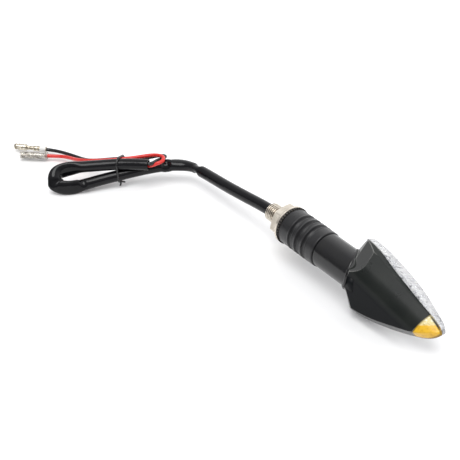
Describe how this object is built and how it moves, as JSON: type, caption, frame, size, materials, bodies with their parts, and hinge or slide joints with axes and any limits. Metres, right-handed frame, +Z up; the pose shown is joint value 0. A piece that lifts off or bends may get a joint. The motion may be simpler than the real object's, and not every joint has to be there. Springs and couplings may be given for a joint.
{
  "type": "motorcycle turn signal indicator",
  "caption": "Turn signal lamp: arrow shaped head with clear lens and amber tip on a flexible rubber stem, threaded mounting stud with nut and washer, and a sleeved two wire harness.",
  "frame": {"origin": "centre of the rubber stem's seat face, on the axis of the threaded stud", "axes": "+X along the stem towards the lamp head, +Z up as the lamp lies on a table, +Y the side the lens faces"},
  "size_m": [0.2928, 0.0843, 0.0348],
  "materials": {
    "threaded_stud": "nickel plated, threaded",
    "lock_washer": "nickel plated",
    "hex_nut": "nickel plated, matte",
    "flex_boot": "matte black rubber",
    "stalk": "semi gloss black nylon",
    "housing": "semi gloss black plastic",
    "amber_window": "translucent amber plastic",
    "lens_gasket": "soft black seal",
    "clear_lens": "clear prismatic polycarbonate",
    "led_board": "white lamp board",
    "leds": "amber light emitters",
    "resistors": "black ceramic chips",
    "diode": "black moulded case",
    "board_screws": "zinc plated",
    "reflector": "metallised plastic",
    "stalk_screws": "zinc plated",
    "wire_grommet": "soft black grommet",
    "cable_sleeve": "glossy black PVC sleeve",
    "red_wire": "red wire insulation",
    "black_wire": "black wire insulation",
    "twist_tie": "black coated tie",
    "male_terminal": "tinned brass",
    "terminal_collar": "white plastic collar",
    "female_terminal": "tinned brass",
    "terminal_insulator": "clear soft PVC sleeve"
  },
  "bodies": {
    "mount": {"threaded_stud": "threaded_stud", "cable_sleeve": "cable_sleeve", "red_wire": "red_wire", "black_wire": "black_wire", "twist_tie": "twist_tie", "male_terminal": "male_terminal", "terminal_collar": "terminal_collar", "female_terminal": "female_terminal"},
    "washer": {"lock_washer": "lock_washer"},
    "nut": {"hex_nut": "hex_nut"},
    "stem": {"flex_boot": "flex_boot"},
    "head": {"stalk": "stalk", "housing": "housing", "amber_window": "amber_window", "lens_gasket": "lens_gasket", "clear_lens": "clear_lens", "led_board": "led_board", "leds": "leds", "resistors": "resistors", "diode": "diode", "board_screws": "board_screws", "reflector": "reflector", "stalk_screws": "stalk_screws", "wire_grommet": "wire_grommet"},
    "insulator": {"terminal_insulator": "terminal_insulator"}
  },
  "joints": [
    {"name": "nut_travel", "type": "slide", "parent": "mount", "child": "washer", "axis": [-1, 0, 0], "range_m": [0, 0.009]},
    {"name": "nut_spin", "type": "hinge", "parent": "washer", "child": "nut", "pos_m": [-0.0048, 0, 0], "axis": [-1, 0, 0], "range_deg": [0, 2592]},
    {"name": "stem_fold", "type": "hinge", "parent": "mount", "child": "stem", "pos_m": [0.01, 0, 0], "axis": [0, 0.4226, 0.9063], "range_deg": [-15, 15], "deforming": ["flex_boot", "red_wire", "black_wire"]},
    {"name": "stem_lift", "type": "hinge", "parent": "stem", "child": "head", "pos_m": [0.017, 0, 0], "axis": [0, 0.9063, -0.4226], "range_deg": [-15, 15], "deforming": ["flex_boot", "red_wire", "black_wire"]},
    {"name": "insulator_slide", "type": "slide", "parent": "mount", "child": "insulator", "axis": [0.66, 0.7513, 0], "range_m": [0, 0.006]}
  ],
  "couplings": [
    {"joint": "nut_spin", "follows": "nut_travel", "rad_per_m": 5026.5}
  ]
}
